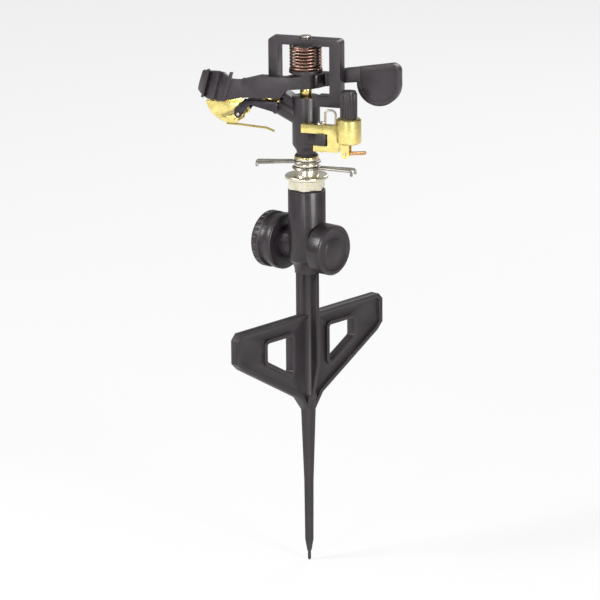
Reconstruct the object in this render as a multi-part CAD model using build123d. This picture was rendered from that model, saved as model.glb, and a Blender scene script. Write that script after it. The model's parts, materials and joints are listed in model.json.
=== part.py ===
"""Spike impact sprinkler: ground stake, in-line tee, bearing and part-circle impact head.

Millimetres. The origin is the spike's tip, +Z runs up the riser, +X towards the end cap.
The head is drawn with its range tube towards -X and then turned to its place at rest.
"""
import math
import os

from build123d import *

# Fits
SLIP = 0.05
AIR = 0.3

# A round wire is drawn with this many sides
WIRE_SIDES = 8

# Ground stake
NIB_SIDE = 2.4
NIB_TOP_Z = 7.0
SPIKE_LOW_Z = 16.0
SPIKE_LOW_SIDE = 4.8
SPIKE_MID_Z = 62.0
SPIKE_MID_SIDE = 5.4
SPIKE_TOP_Z = 125.0
SPIKE_TOP_SIDE = 8.8
FLUTE_DEPTH_SHARE = 0.09
WING_TOP_Z = 190.4
WING_SPAN = 165.0
WING_END_HIGH_CUT = 4.5
WING_END_HEIGHT = 17.9
WING_CORNER_CUT = 6.0
WING_CORNER_DROP = 5.5
WING_ROOT_Y = 13.0
WING_ROOT_Z = 128.0
WING_WEB = 2.6
WING_RIM_WIDTH = 7.0
WING_RIM = 3.0
WINDOW_INNER_Y = 21.0
WINDOW_OUTER_Y = 49.5
WINDOW_TOP_Z = 177.5
WINDOW_CORNER = 2.0
BRACE_HEIGHT = 16.0
FIN_REACH = 10.0
FIN_WALL = 3.0
FIN_TAPER_Z = 152.0
CORE_RADIUS = 4.8
STEM_TOP_Z = 222.0
SPIGOT_RADIUS = 6.5
SPIGOT_LENGTH = 6.5

# In-line tee
PORT_Z = 242.3
RISER_RADIUS = 13.9
RISER_TOP_Z = 284.5
SKIRT_RADIUS = 9.4
SKIRT_SHOULDER_Z = 232.0
PIPE_RADIUS = 11.5
PIPE_BORE = 8.5
RISER_BORE = 8.8
INLET_END_X = 25.0
INLET_FLANGE_RADIUS = 13.2
INLET_FLANGE_WALL = 2.4
OUTLET_THREAD_RADIUS = 13.3
OUTLET_THREAD_START_X = 12.4

# Hose coupling and end cap
HOSE_THREAD_RADIUS = 12.9
HOSE_THREAD_LENGTH = 10.1
HOSE_WASHER_WALL = 2.4
COUPLING_RADIUS = 21.0
COUPLING_WAIST_RADIUS = 19.0
COUPLING_WAIST = 4.5
COUPLING_REAR_RIM = 6.2
COUPLING_LIP = 3.0
COUPLING_FLUTES = 24
COUPLING_FLUTE_RADIUS = 1.3
CAP_RADIUS = 18.8
CAP_BACK_X = 14.3
CAP_FRONT_X = 26.6
CAP_FACE_WALL = 2.2
CAP_RIM = 3.2
CAP_RECESS = 1.4
CAP_BOSS_RADIUS = 8.5
CAP_WASHER_WALL = 1.6

# Bearing
NIPPLE_THREAD_RADIUS = 10.3
NIPPLE_BOTTOM_Z = 271.0
GASKET_WALL = 1.0
HEX_FLATS = 24.4
HEX_HEIGHT = 7.5
FLANGE_RADIUS = 16.0
FLANGE_WALL = 3.0
SEAT_RADIUS = 9.0
NIPPLE_TOP_Z = 309.0
CHAMBER_RADIUS = 7.4
CHAMBER_FLOOR_Z = 298.6
TUBE_RADIUS = 5.5
TUBE_BORE = 4.2
TUBE_FLANGE_RADIUS = 8.4
TUBE_FLANGE_WALL = 2.0
TUBE_TOP_Z = 326.0
THRUST_WASHER_WALL = 1.3
BEARING_SPRING_WIRE = 1.2
BEARING_SPRING_TURNS = 4
UPPER_WASHER_WALL = 1.0
SEAL_WASHER_WALL = 1.2

# Arc stops
STOP_WIRE = 2.1
STOP_LOW_Z = 301.5
STOP_HIGH_Z = 306.0
STOP_GROOVE = 0.5
STOP_REACH = 37.5
STOP_LEG_ROOT = 2.2
STOP_LEG_TIP = 4.2
STOP_LOW_DROP = 3.6
STOP_HIGH_DROP = 2.6
STOP_LOW_TURN = 20.0
STOP_HIGH_TURN = 220.5

# Head: body, range tube and bridge
HEAD_TURN = 22.0
BARREL_RADIUS = 10.3
BARREL_BOTTOM_Z = 314.0
BARREL_CONE_Z = 319.0
BARREL_TOP_Z = 355.0
NECK_RADIUS = 7.3
RANGE_ANGLE = 27.0
RANGE_ROOT_Z = 337.5
RANGE_RADIUS = 7.5
RANGE_LENGTH = 21.9
RANGE_BORE = 4.6
BRIDGE_DEPTH = 11.6
BRIDGE_FRONT_X = 27.0
BRIDGE_REAR_X = 28.0
BRIDGE_GAP = 19.9
BRIDGE_HEIGHT = 43.7
BRIDGE_BAR = 4.9
REAR_FOOT_LOW_Z = 348.7
REAR_FOOT_HIGH_Z = 356.4
FRONT_FOOT_Z = 362.0
FRONT_HEEL_X = 14.0
FRONT_HEEL_Z = 357.4
BRIDGE_CORNER = 3.0

# Nozzle and distance flap
NOZZLE_RADIUS = 5.8
NOZZLE_THREAD_RADIUS = 5.4
NOZZLE_THREAD_LENGTH = 7.5
NOZZLE_LENGTH = 13.5
NOZZLE_WAIST_RADIUS = 4.9
NOZZLE_BORE = 2.4
CLIP_WALL = 1.5
CLIP_RADIUS = 8.4
FLAP_PIVOT_X = -49.5
FLAP_PIVOT_Z = 340.4
FLAP_PIVOT_RADIUS = 1.2
FLAP_HALF_WIDTH = 8.5
FLAP_SHEET = 1.2
FLAP_ARC_X = -55.5
FLAP_ARC_Z = 353.0
FLAP_ARC_RADIUS = 20.0
FLAP_TOP_Z = 348.6
FLAP_EAR_RADIUS = 3.4
BRACKET_SHEET = 1.2
BRACKET_HEIGHT = 4.6
HANDLE_WIRE = 1.7
HANDLE_END_X = -22.6
HANDLE_END_Z = 330.0

# Fulcrum pin, arm and spring
PIN_RADIUS = 2.5
PIN_BOTTOM_Z = 344.5
PIN_HEAD_RADIUS = 4.2
PIN_HEAD = 1.5
SLEEVE_RADIUS = 4.4
ARM_BOTTOM_Z = 361.6
ARM_TOP_Z = 370.6
HUB_RADIUS = 8.6
HUB_TOP_Z = 373.0
CUP_RADIUS = 12.4
CUP_WALL = 2.2
BUSHING_RADIUS = 3.6
ARM_INNER_Y = 6.2
ARM_WIDTH = 8.0
SPOON_TIP_X = -86.5
SPOON_ROOT_X = -46.0
SPOON_WALL = 3.0
SPOON_RIB = 2.2
SPOON_RIB_HEIGHT = 2.6
PADDLE_TIP_X = 69.8
PADDLE_ROOT_X = 37.0
PADDLE_LOW_Z = 349.1
PADDLE_HIGH_Z = 381.2
PADDLE_WALL = 7.0
PADDLE_RIM = 2.6
PADDLE_RECESS = 1.4
SPRING_WIRE = 1.7
SPRING_RADIUS = 11.2
SPRING_TURNS = 7
SPRING_CAP_RADIUS = 9.5
SPRING_CAP_WALL = 2.2
SPRING_CORE_RADIUS = 7.0
SPRING_CORE_GAP = 5.4

# Trip mechanism
TRIP_PIVOT_X = 16.4
TRIP_Y = -14.0
TRIP_PIVOT_RADIUS = 1.5
TRIP_BAR_DEPTH = 6.4
TRIP_TAIL_X = 1.5
TRIP_UPPER_LOW_Z = 331.2
TRIP_UPPER_HIGH_Z = 337.6
TRIP_LOWER_LOW_Z = 317.8
TRIP_LOWER_HIGH_Z = 322.2
TRIP_LOWER_START_X = 10.9
TRIP_THROAT_X = 21.9
TRIP_LUG_RADIUS = 5.1
DRUM_X = 37.4
DRUM_RADIUS = 9.2
DRUM_LOW_Z = 325.0
DRUM_HIGH_Z = 343.4
HEAD_KNOB_RADIUS = 6.4
HEAD_KNOB_HEIGHT = 20.4
HEAD_KNOB_RIBS = 14
HEAD_KNOB_RIB_RADIUS = 0.8
STUD_RADIUS = 2.0
FINGER_X = 35.2
FINGER_Z = 317.0
FINGER_LENGTH = 15.0
FINGER_WIDTH = 3.6
FINGER_THICK = 2.2
FINGER_PIN_RADIUS = 1.0
FINGER_EAR_RADIUS = 3.2
TRIP_SPRING_WIRE = 1.8
TRIP_SPRING_TOP_Z = 349.4

# Places that follow from the sizes above
WING_END_LOW_Z = WING_TOP_Z - WING_END_HIGH_CUT - WING_END_HEIGHT
WING_CORNER_Y = WING_SPAN / 2 - WING_CORNER_CUT
WING_CORNER_Z = WING_END_LOW_Z - WING_CORNER_DROP
GASKET_TOP_Z = RISER_TOP_Z + GASKET_WALL
HEX_TOP_Z = GASKET_TOP_Z + HEX_HEIGHT
FLANGE_TOP_Z = HEX_TOP_Z + FLANGE_WALL
UPPER_WASHER_Z = NIPPLE_TOP_Z + 2 * SLIP
SEAL_WASHER_Z = UPPER_WASHER_Z + UPPER_WASHER_WALL
NECK_BOTTOM_Z = SEAL_WASHER_Z + SEAL_WASHER_WALL
TUBE_FLANGE_TOP_Z = NIPPLE_BOTTOM_Z - THRUST_WASHER_WALL - 2 * SLIP
BRIDGE_TOP_Z = BARREL_TOP_Z + BRIDGE_HEIGHT
BRIDGE_BAR_Z = BRIDGE_TOP_Z - BRIDGE_BAR
CUP_TOP_Z = HUB_TOP_Z + CUP_WALL
SPRING_CAP_Z = BRIDGE_BAR_Z - SPRING_CAP_WALL
SPRING_CORE_LENGTH = SPRING_CAP_Z - CUP_TOP_Z - SPRING_CORE_GAP
CAP_INSIDE_X = CAP_FRONT_X - CAP_RECESS - CAP_FACE_WALL
OUTLET_END_X = CAP_INSIDE_X - CAP_WASHER_WALL
COUPLING_FRONT_X = INLET_END_X + HOSE_WASHER_WALL + HOSE_THREAD_LENGTH
COUPLING_BACK_X = INLET_END_X - INLET_FLANGE_WALL - AIR - COUPLING_LIP
RANGE_DIRECTION = Vector(
    -math.cos(math.radians(RANGE_ANGLE)), 0, math.sin(math.radians(RANGE_ANGLE)))
RANGE_ROOT = Vector(0, 0, RANGE_ROOT_Z)


def drum_between(radius, low, high, x=0.0, y=0.0):
    """Return an upright cylinder between two heights."""
    return Pos(x, y, (low + high) / 2) * Cylinder(radius, high - low)


def ring_between(outer, inner, low, high, x=0.0, y=0.0):
    """Return an upright tube between two heights."""
    return drum_between(outer, low, high, x, y) - drum_between(inner, low - 1, high + 1, x, y)


def cross_drum(radius, start, end, z):
    """Return a cylinder along X between two places."""
    return Pos((start + end) / 2, 0, z) * Rot(0, 90, 0) * Cylinder(radius, end - start)


def side_plate(points, depth, y=0.0, corner=0.0):
    """Return a plate cut to an outline of (x, z) points, centred on y."""
    outline = make_face(Polyline([(px, pz) for px, pz in points], close=True))
    if corner:
        outline = fillet(outline.vertices(), corner)
    upright = Plane(origin=(0, y, 0), x_dir=(1, 0, 0), z_dir=(0, -1, 0))
    return extrude(upright * outline, amount=depth / 2, both=True)


def wire(points, diameter, bend):
    """Return a round wire bent along a route."""
    route = FilletPolyline(*points, radius=bend)
    section = Plane(origin=route @ 0, z_dir=route % 0) * RegularPolygon(diameter / 2, WIRE_SIDES)
    return sweep(section, path=route)


def wire_ring(radius, diameter, height, x=0.0, y=0.0):
    """Return a ring of round wire about an upright axis."""
    section = Plane.XZ * Pos(radius, 0) * RegularPolygon(diameter / 2, WIRE_SIDES)
    return Pos(x, y, height) * revolve(section, Axis.Z)


def coil(radius, diameter, low, high, turns):
    """Return a coil spring whose wire lies between two heights."""
    height = high - low - diameter
    route = Pos(0, 0, low + diameter / 2) * Helix(height / turns, height, radius)
    section = Plane(origin=route @ 0, z_dir=route % 0) * RegularPolygon(diameter / 2, WIRE_SIDES)
    return sweep(section, path=route, is_frenet=True)


def along_range(shape):
    """Move a shape drawn about Z from the origin onto the range tube's axis."""
    return Plane(origin=RANGE_ROOT, x_dir=(0, 1, 0), z_dir=RANGE_DIRECTION) * shape


def spike_section(side, height):
    """Return the spike's square section with a shallow flute in each face."""
    half = side / 2
    floor = half - side * FLUTE_DEPTH_SHARE
    points = []
    for quarter in range(4):
        turn = math.radians(90 * quarter)
        for across, out in ((-0.84, 1.0), (-0.44, 1.0), (-0.24, None), (0.24, None), (0.44, 1.0), (0.84, 1.0)):
            x = floor if out is None else half
            y = half * across
            points.append((x * math.cos(turn) - y * math.sin(turn), x * math.sin(turn) + y * math.cos(turn)))
    return Pos(0, 0, height) * make_face(Polyline(points, close=True))


def wing_lower_edge(y):
    """Return the height of the wing's sloping lower edge at a distance from the stem."""
    slope = (WING_CORNER_Z - WING_ROOT_Z) / (WING_CORNER_Y - WING_ROOT_Y)
    return WING_ROOT_Z + slope * (y - WING_ROOT_Y)


def wing_outline():
    """Return the face of both wings, seen along X."""
    end = WING_SPAN / 2
    half = [
        (0, WING_TOP_Z),
        (end - WING_END_HIGH_CUT, WING_TOP_Z),
        (end, WING_TOP_Z - WING_END_HIGH_CUT),
        (end, WING_END_LOW_Z),
        (WING_CORNER_Y, WING_CORNER_Z),
        (WING_ROOT_Y, WING_ROOT_Z),
        (SPIKE_TOP_SIDE / 2, SPIKE_TOP_Z - 8),
        (0, SPIKE_TOP_Z - 8),
    ]
    mirrored = [(-y, z) for y, z in reversed(half[1:-1])]
    return make_face(Polyline(half + mirrored, close=True))


def window_outline(side):
    """Return the face of one wing's window, on the side given by 1 or -1."""
    points = [
        (side * WINDOW_INNER_Y, WINDOW_TOP_Z),
        (side * WINDOW_OUTER_Y, WINDOW_TOP_Z),
        (side * WINDOW_OUTER_Y, wing_lower_edge(WINDOW_OUTER_Y) + BRACE_HEIGHT),
        (side * WINDOW_INNER_Y, wing_lower_edge(WINDOW_INNER_Y) + BRACE_HEIGHT),
    ]
    window = make_face(Polyline(points, close=True))
    return fillet(window.vertices(), WINDOW_CORNER)


def make_stake():
    """Return the moulded stake: fluted spike, finned stem and two step wings."""
    facing = Plane(origin=(0, 0, 0), x_dir=(0, 1, 0), z_dir=(1, 0, 0))
    outline = wing_outline()
    windows = window_outline(1) + window_outline(-1)
    web = extrude(facing * (outline - windows), amount=WING_WEB / 2, both=True)
    edge = outline - offset(outline, -WING_RIM, kind=Kind.INTERSECTION)
    surround = offset(window_outline(1), WING_RIM, kind=Kind.INTERSECTION) - window_outline(1)
    surround += offset(window_outline(-1), WING_RIM, kind=Kind.INTERSECTION) - window_outline(-1)
    rims = extrude(facing * (edge + surround), amount=WING_RIM_WIDTH / 2, both=True)

    fin = [
        (-SPIKE_TOP_SIDE / 2, SPIKE_TOP_Z),
        (SPIKE_TOP_SIDE / 2, SPIKE_TOP_Z),
        (FIN_REACH, FIN_TAPER_Z),
        (FIN_REACH, STEM_TOP_Z),
        (-FIN_REACH, STEM_TOP_Z),
        (-FIN_REACH, FIN_TAPER_Z),
    ]
    fins = side_plate(fin, FIN_WALL)
    stem_fin = Pos(0, 0, (WING_TOP_Z - 1 + STEM_TOP_Z) / 2) * Box(
        FIN_WALL, 2 * FIN_REACH, STEM_TOP_Z - WING_TOP_Z + 1)
    core = drum_between(CORE_RADIUS, SPIKE_TOP_Z, STEM_TOP_Z)
    spigot = drum_between(SPIGOT_RADIUS, STEM_TOP_Z, STEM_TOP_Z + SPIGOT_LENGTH)

    nib = Pos(0, 0, NIB_TOP_Z / 2 + 0.5) * Cylinder(NIB_SIDE / 2, NIB_TOP_Z - 1)
    point = Pos(0, 0, 0.5) * Cone(0.5, NIB_SIDE / 2, 1.0)
    spike = loft([
        spike_section(NIB_SIDE, NIB_TOP_Z),
        spike_section(SPIKE_LOW_SIDE, SPIKE_LOW_Z),
        spike_section(SPIKE_MID_SIDE, SPIKE_MID_Z),
        spike_section(SPIKE_TOP_SIDE, SPIKE_TOP_Z),
    ], ruled=True)
    neck = Pos(0, 0, SPIKE_TOP_Z + 2) * Box(SPIKE_TOP_SIDE, SPIKE_TOP_SIDE, 4)
    return point + nib + spike + neck + web + rims + fins + stem_fin + core + spigot


def make_inline_tee():
    """Return the tee: riser, cross pipe, coupling flange, capped thread and skirt."""
    fall = SKIRT_SHOULDER_Z - STEM_TOP_Z
    skirt = make_face(
        Polyline(
            (RISER_RADIUS, SKIRT_SHOULDER_Z),
            (0, SKIRT_SHOULDER_Z),
            (0, STEM_TOP_Z),
            (SKIRT_RADIUS, STEM_TOP_Z))
        + ThreePointArc(
            (SKIRT_RADIUS, STEM_TOP_Z),
            (SKIRT_RADIUS + (RISER_RADIUS - SKIRT_RADIUS) * 0.28, STEM_TOP_Z + fall * 0.62),
            (RISER_RADIUS, SKIRT_SHOULDER_Z)))
    body = revolve(Plane.XZ * skirt, Axis.Z)
    body += drum_between(RISER_RADIUS, SKIRT_SHOULDER_Z, RISER_TOP_Z)
    body += cross_drum(PIPE_RADIUS, -INLET_END_X, OUTLET_END_X, PORT_Z)
    body += cross_drum(
        INLET_FLANGE_RADIUS, -INLET_END_X, -INLET_END_X + INLET_FLANGE_WALL, PORT_Z)
    body += cross_drum(OUTLET_THREAD_RADIUS, OUTLET_THREAD_START_X, OUTLET_END_X, PORT_Z)
    body -= cross_drum(PIPE_BORE, -INLET_END_X - 1, OUTLET_END_X + 1, PORT_Z)
    body -= drum_between(RISER_BORE, PORT_Z, RISER_TOP_Z + 1)
    thread_floor = NIPPLE_BOTTOM_Z - TUBE_FLANGE_WALL - THRUST_WASHER_WALL - 2
    body -= drum_between(NIPPLE_THREAD_RADIUS + SLIP, thread_floor, RISER_TOP_Z + 1)
    body -= drum_between(SPIGOT_RADIUS + SLIP, STEM_TOP_Z - 1, STEM_TOP_Z + SPIGOT_LENGTH + SLIP)
    return body


def turned_along_x(points):
    """Return the solid of an (x, radius) outline turned about the tee's cross axis."""
    outline = make_face(Polyline([(px, pr) for px, pr in points], close=True))
    return Pos(0, 0, PORT_Z) * revolve(Plane.XZ * outline, Axis.X)


def make_hose_coupling():
    """Return the swivel nut, with its thread towards -X and its lip behind the tee's flange."""
    front = -COUPLING_FRONT_X
    back = -COUPLING_BACK_X
    rear_rim = back - COUPLING_REAR_RIM
    waist = rear_rim - COUPLING_WAIST
    lip = back - COUPLING_LIP
    seat = -INLET_END_X - HOSE_WASHER_WALL
    points = [
        (front, HOSE_THREAD_RADIUS),
        (front, COUPLING_RADIUS - 1),
        (front + 1, COUPLING_RADIUS),
        (waist - 1, COUPLING_RADIUS),
        (waist, COUPLING_WAIST_RADIUS),
        (rear_rim, COUPLING_WAIST_RADIUS),
        (rear_rim + 1, COUPLING_RADIUS),
        (back - 1, COUPLING_RADIUS),
        (back, COUPLING_RADIUS - 1),
        (back, PIPE_RADIUS + SLIP),
        (lip, PIPE_RADIUS + SLIP),
        (lip, INLET_FLANGE_RADIUS + AIR),
        (seat, INLET_FLANGE_RADIUS + AIR),
        (seat, HOSE_THREAD_RADIUS),
    ]
    nut = turned_along_x(points)
    flute = cross_drum(COUPLING_FLUTE_RADIUS, front + 1.5, waist - 1.5, PORT_Z)
    for step in range(COUPLING_FLUTES):
        spot = math.radians(360 * step / COUPLING_FLUTES)
        reach = COUPLING_RADIUS + COUPLING_FLUTE_RADIUS * 0.45
        nut -= Pos(0, reach * math.cos(spot), reach * math.sin(spot)) * flute
    return nut


def make_hose_washer():
    """Return the rubber washer against the tee's inlet face."""
    seat = -INLET_END_X - SLIP
    return turned_along_x([
        (seat - HOSE_WASHER_WALL + 2 * SLIP, PIPE_BORE),
        (seat, PIPE_BORE),
        (seat, INLET_FLANGE_RADIUS),
        (seat - HOSE_WASHER_WALL + 2 * SLIP, INLET_FLANGE_RADIUS),
    ])


def make_end_cap():
    """Return the screw cap of the second port, with a rim and a raised boss on its face."""
    return turned_along_x([
        (CAP_BACK_X, OUTLET_THREAD_RADIUS + SLIP),
        (CAP_BACK_X, CAP_RADIUS - 0.8),
        (CAP_BACK_X + 0.8, CAP_RADIUS),
        (CAP_FRONT_X - 1.2, CAP_RADIUS),
        (CAP_FRONT_X, CAP_RADIUS - 1.2),
        (CAP_FRONT_X, CAP_RADIUS - CAP_RIM),
        (CAP_FRONT_X - CAP_RECESS, CAP_RADIUS - CAP_RIM - 0.8),
        (CAP_FRONT_X - CAP_RECESS, CAP_BOSS_RADIUS + 0.8),
        (CAP_FRONT_X - 0.5, CAP_BOSS_RADIUS),
        (CAP_FRONT_X - 0.5, 0),
        (CAP_INSIDE_X, 0),
        (CAP_INSIDE_X, OUTLET_THREAD_RADIUS + SLIP),
    ])


def make_end_cap_washer():
    """Return the rubber washer between the tee's second port and the cap."""
    return turned_along_x([
        (OUTLET_END_X + SLIP, PIPE_BORE),
        (CAP_INSIDE_X - SLIP, PIPE_BORE),
        (CAP_INSIDE_X - SLIP, OUTLET_THREAD_RADIUS - 0.4),
        (OUTLET_END_X + SLIP, OUTLET_THREAD_RADIUS - 0.4),
    ])


def make_bearing_nipple():
    """Return the nipple: thread, hexagon, flange and the grooved seat of the arc stops."""
    nipple = drum_between(NIPPLE_THREAD_RADIUS, NIPPLE_BOTTOM_Z, GASKET_TOP_Z)
    hexagon = extrude(
        Pos(0, 0, GASKET_TOP_Z) * RegularPolygon(HEX_FLATS / 2, 6, major_radius=False),
        amount=HEX_HEIGHT)
    corner = HEX_FLATS / 2 / math.cos(math.radians(30))
    bevel = drum_between(corner - 0.3, GASKET_TOP_Z, HEX_TOP_Z)
    nipple += hexagon & bevel
    flange = drum_between(FLANGE_RADIUS, HEX_TOP_Z, FLANGE_TOP_Z)
    nipple += chamfer(flange.edges(), 0.6)
    nipple += drum_between(SEAT_RADIUS, FLANGE_TOP_Z, NIPPLE_TOP_Z)
    for height in (STOP_LOW_Z, STOP_HIGH_Z):
        groove = ring_between(
            SEAT_RADIUS + 1, SEAT_RADIUS - STOP_GROOVE, height - STOP_WIRE / 2, height + STOP_WIRE / 2)
        nipple -= groove
    nipple -= drum_between(TUBE_RADIUS + SLIP, NIPPLE_BOTTOM_Z - 1, NIPPLE_TOP_Z + 1)
    nipple -= drum_between(CHAMBER_RADIUS, CHAMBER_FLOOR_Z, NIPPLE_TOP_Z + 1)
    return nipple


def make_nipple_gasket():
    """Return the rubber ring between the riser and the hexagon."""
    return ring_between(RISER_RADIUS - 1.2, NIPPLE_THREAD_RADIUS + SLIP, RISER_TOP_Z, GASKET_TOP_Z)


def make_bearing_spring():
    """Return the coil in the nipple's chamber that loads the head's washers."""
    middle = (TUBE_RADIUS + CHAMBER_RADIUS) / 2
    return coil(middle, BEARING_SPRING_WIRE, CHAMBER_FLOOR_Z, NIPPLE_TOP_Z, BEARING_SPRING_TURNS)


def make_bearing_tube():
    """Return the flanged tube that hangs the head in the nipple."""
    tube = drum_between(TUBE_RADIUS, TUBE_FLANGE_TOP_Z - TUBE_FLANGE_WALL, TUBE_TOP_Z)
    tube += drum_between(
        TUBE_FLANGE_RADIUS, TUBE_FLANGE_TOP_Z - TUBE_FLANGE_WALL, TUBE_FLANGE_TOP_Z)
    return tube - drum_between(TUBE_BORE, TUBE_FLANGE_TOP_Z - 9, TUBE_TOP_Z + 1)


def make_lower_thrust_washer():
    """Return the washer between the tube's flange and the nipple."""
    return ring_between(
        TUBE_FLANGE_RADIUS, TUBE_RADIUS + SLIP, TUBE_FLANGE_TOP_Z + SLIP,
        TUBE_FLANGE_TOP_Z + SLIP + THRUST_WASHER_WALL)


def make_upper_thrust_washer():
    """Return the metal washer on the nipple's top."""
    return ring_between(
        SEAT_RADIUS, TUBE_RADIUS + SLIP, UPPER_WASHER_Z, UPPER_WASHER_Z + UPPER_WASHER_WALL)


def make_seal_washer():
    """Return the rubber washer under the body's neck."""
    return ring_between(SEAT_RADIUS - 0.6, TUBE_RADIUS + SLIP, SEAL_WASHER_Z, NECK_BOTTOM_Z)


def make_arc_stop(height, drop, turn):
    """Return a friction collar of wire with its two radial legs, turned to its place."""
    ring_radius = SEAT_RADIUS - STOP_GROOVE + AIR / 4 + STOP_WIRE / 2
    stop = wire_ring(ring_radius, STOP_WIRE, height)
    for side in (1, -1):
        route = [
            (ring_radius - 0.4, side * STOP_LEG_ROOT, height),
            (STOP_REACH - STOP_WIRE / 2, side * STOP_LEG_TIP, height),
            (STOP_REACH - STOP_WIRE / 2, side * STOP_LEG_TIP, height - drop),
        ]
        stop += wire(route, STOP_WIRE, STOP_WIRE * 0.8)
    return stop.rotate(Axis.Z, turn)


def bridge_outline():
    """Return the outline of the bridge and its two feet, as (x, z) points."""
    nozzle_top = RANGE_ROOT_Z + (NOZZLE_RADIUS + 1.4) / math.cos(math.radians(RANGE_ANGLE))
    rise = math.tan(math.radians(RANGE_ANGLE))
    heel = FRONT_HEEL_X + 1.5
    return [
        (-BRIDGE_FRONT_X, nozzle_top + rise * BRIDGE_FRONT_X),
        (-BRIDGE_FRONT_X, BRIDGE_TOP_Z),
        (BRIDGE_REAR_X, BRIDGE_TOP_Z),
        (BRIDGE_REAR_X, REAR_FOOT_LOW_Z),
        (0, REAR_FOOT_LOW_Z),
        (0, BARREL_TOP_Z - 1),
        (SLEEVE_RADIUS + 1.5, BARREL_TOP_Z - 1),
        (BARREL_RADIUS, REAR_FOOT_HIGH_Z),
        (BRIDGE_GAP, REAR_FOOT_HIGH_Z),
        (BRIDGE_GAP, BRIDGE_BAR_Z),
        (-BRIDGE_GAP, BRIDGE_BAR_Z),
        (-BRIDGE_GAP, FRONT_FOOT_Z),
        (-FRONT_HEEL_X, FRONT_HEEL_Z),
        (-BARREL_RADIUS + 2, BARREL_TOP_Z - 1),
        (-BARREL_RADIUS + 2, BARREL_TOP_Z - 9),
        (-heel, RANGE_ROOT_Z + rise * heel),
        (-heel, nozzle_top + rise * heel),
    ]


def make_sprinkler_body():
    """Return the head's moulding: barrel, range tube, bridge and trip lug."""
    barrel = drum_between(BARREL_RADIUS, BARREL_CONE_Z, BARREL_TOP_Z)
    barrel += Pos(0, 0, (BARREL_BOTTOM_Z + BARREL_CONE_Z) / 2) * Cone(
        NECK_RADIUS, BARREL_RADIUS, BARREL_CONE_Z - BARREL_BOTTOM_Z)
    barrel += drum_between(NECK_RADIUS, NECK_BOTTOM_Z, BARREL_BOTTOM_Z)
    tube = along_range(Pos(0, 0, RANGE_LENGTH / 2) * Cylinder(RANGE_RADIUS, RANGE_LENGTH))
    bridge = side_plate(bridge_outline(), BRIDGE_DEPTH)
    corners = bridge.edges().filter_by(Axis.Y).filter_by(
        lambda edge: abs(edge.center().Z - BRIDGE_TOP_Z) < 0.1)
    bridge = fillet(corners, BRIDGE_CORNER)

    lug_low = TRIP_LOWER_HIGH_Z + AIR
    lug_high = TRIP_UPPER_LOW_Z - AIR
    lug = drum_between(TRIP_LUG_RADIUS, lug_low, lug_high, TRIP_PIVOT_X, TRIP_Y)
    arm_length = math.hypot(TRIP_PIVOT_X, TRIP_Y)
    arm_turn = math.degrees(math.atan2(TRIP_Y, TRIP_PIVOT_X))
    lug_arm = Rot(0, 0, arm_turn) * Pos(arm_length / 2, 0, (lug_low + lug_high) / 2) * Box(
        arm_length, 2 * TRIP_LUG_RADIUS - 1.2, lug_high - lug_low)

    body = barrel + tube + bridge + lug + lug_arm
    body -= drum_between(TUBE_RADIUS + SLIP, NECK_BOTTOM_Z - 1, TUBE_TOP_Z + SLIP)
    body -= drum_between(RANGE_BORE, TUBE_TOP_Z - 1, RANGE_ROOT_Z)
    body -= along_range(Pos(0, 0, RANGE_LENGTH / 2) * Cylinder(RANGE_BORE, RANGE_LENGTH + 2))
    socket_depth = NOZZLE_THREAD_LENGTH + SLIP
    body -= along_range(
        Pos(0, 0, RANGE_LENGTH - socket_depth / 2 + 0.5) * Cylinder(
            NOZZLE_THREAD_RADIUS + SLIP, socket_depth + 1))
    body -= drum_between(PIN_RADIUS + SLIP / 2, PIN_BOTTOM_Z - SLIP, BRIDGE_TOP_Z + 1)
    body -= drum_between(TRIP_PIVOT_RADIUS + SLIP / 2, lug_low - 1, lug_high + 1, TRIP_PIVOT_X, TRIP_Y)
    return body


def make_nozzle():
    """Return the brass nozzle, turned with a collar, a waist and a lip."""
    start = RANGE_LENGTH - NOZZLE_THREAD_LENGTH
    face = RANGE_LENGTH + CLIP_WALL + 2 * SLIP
    end = RANGE_LENGTH + NOZZLE_LENGTH
    points = [
        (RANGE_BORE, start),
        (NOZZLE_THREAD_RADIUS, start),
        (NOZZLE_THREAD_RADIUS, face),
        (NOZZLE_RADIUS, face),
        (NOZZLE_RADIUS, face + 4.0),
        (NOZZLE_WAIST_RADIUS, face + 5.0),
        (NOZZLE_WAIST_RADIUS, end - 2.2),
        (NOZZLE_RADIUS - 0.4, end - 1.8),
        (NOZZLE_RADIUS - 0.4, end - 0.5),
        (NOZZLE_RADIUS - 0.9, end),
        (NOZZLE_BORE, end),
        (NOZZLE_BORE, end - 5.0),
    ]
    outline = make_face(Polyline([(pr, pz) for pr, pz in points], close=True))
    return along_range(revolve(Plane.XZ * outline, Axis.Z))


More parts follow.
